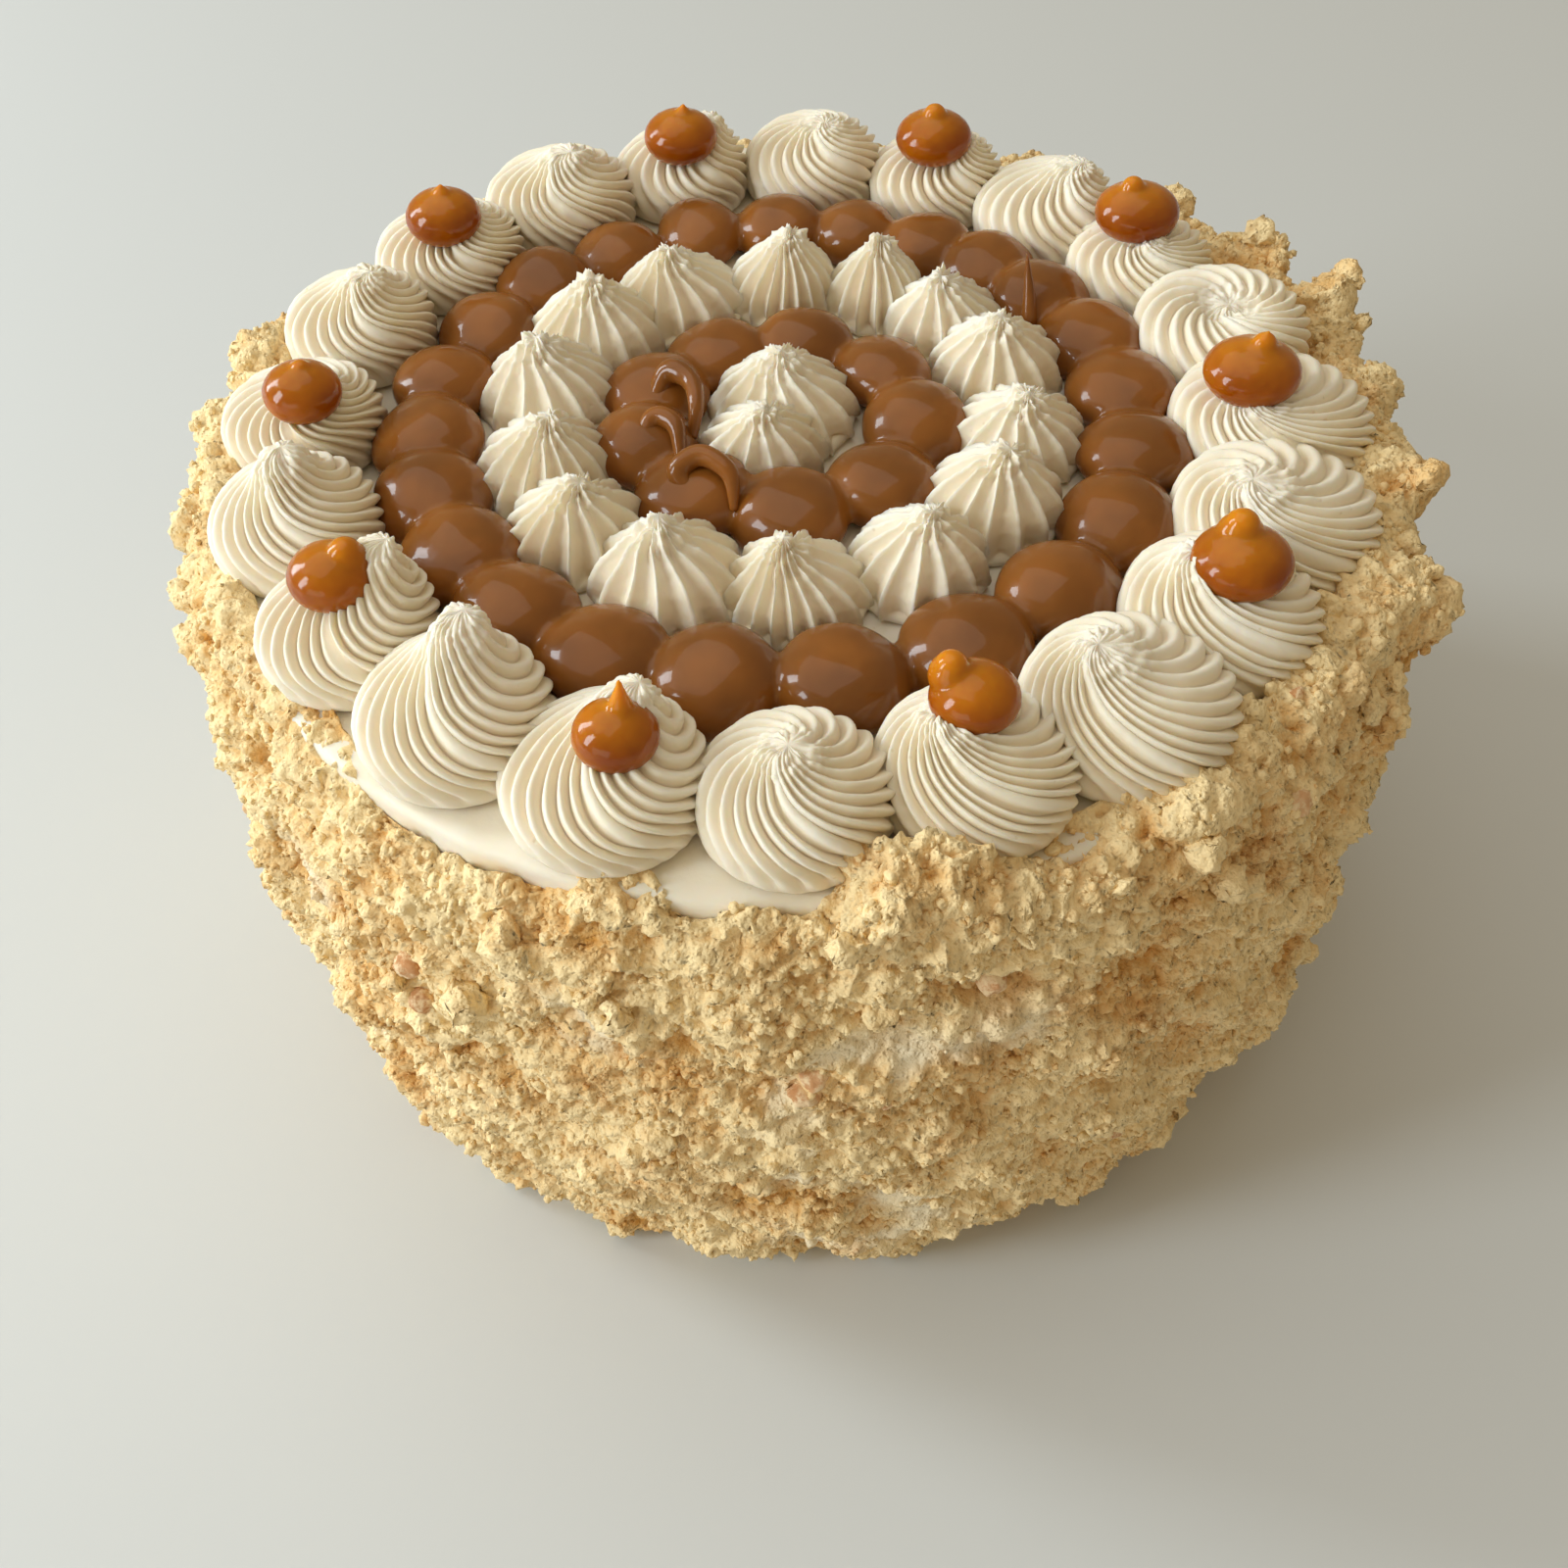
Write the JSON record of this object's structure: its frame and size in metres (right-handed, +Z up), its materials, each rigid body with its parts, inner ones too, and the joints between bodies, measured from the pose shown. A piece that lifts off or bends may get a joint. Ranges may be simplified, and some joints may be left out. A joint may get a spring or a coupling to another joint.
{
  "type": "lucuma layer cake",
  "caption": "Tall round layer cake coated in sponge crumbs, topped with rings of piped cream swirls, caramel beads and cream kisses, with lucuma jam on the rim.",
  "frame": {"origin": "middle of the cake's foot, on the surface it stands on", "axes": "+Z up, -Y towards the front, +X to the right seen from the front"},
  "size_m": [0.2681, 0.2666, 0.1654],
  "materials": {
    "sponge_crumb": "dry, matt yellow sponge crumb",
    "cream": "soft satin ivory cream",
    "caramel": "wet-looking glossy milk caramel",
    "lucuma_jam": "glossy, slightly clear amber-orange jam"
  },
  "bodies": {
    "root": {"cake_body": "sponge_crumb", "cream_cap": "cream", "rim_swirl_01": "cream", "rim_swirl_02": "cream", "rim_swirl_03": "cream", "rim_swirl_04": "cream", "rim_swirl_05": "cream", "rim_swirl_06": "cream", "rim_swirl_07": "cream", "rim_swirl_08": "cream", "rim_swirl_09": "cream", "rim_swirl_10": "cream", "rim_swirl_11": "cream", "rim_swirl_12": "cream", "rim_swirl_13": "cream", "rim_swirl_14": "cream", "rim_swirl_15": "cream", "rim_swirl_16": "cream", "rim_swirl_17": "cream", "rim_swirl_18": "cream", "rim_swirl_19": "cream", "rim_swirl_20": "cream", "lucuma_dollop_02": "lucuma_jam", "lucuma_dollop_04": "lucuma_jam", "lucuma_dollop_06": "lucuma_jam", "lucuma_dollop_08": "lucuma_jam", "lucuma_dollop_10": "lucuma_jam", "lucuma_dollop_12": "lucuma_jam", "lucuma_dollop_14": "lucuma_jam", "lucuma_dollop_16": "lucuma_jam", "lucuma_dollop_18": "lucuma_jam", "lucuma_dollop_20": "lucuma_jam", "caramel_ring_outer": "caramel", "caramel_ring_inner": "caramel", "cream_kiss_01": "cream", "cream_kiss_02": "cream", "cream_kiss_03": "cream", "cream_kiss_04": "cream", "cream_kiss_05": "cream", "cream_kiss_06": "cream", "cream_kiss_07": "cream", "cream_kiss_08": "cream", "cream_kiss_09": "cream", "cream_kiss_10": "cream", "cream_kiss_11": "cream", "cream_kiss_12": "cream", "cream_kiss_13": "cream", "cream_kiss_14": "cream", "centre_kiss_front": "cream", "centre_kiss_back": "cream"}
  },
  "joints": []
}
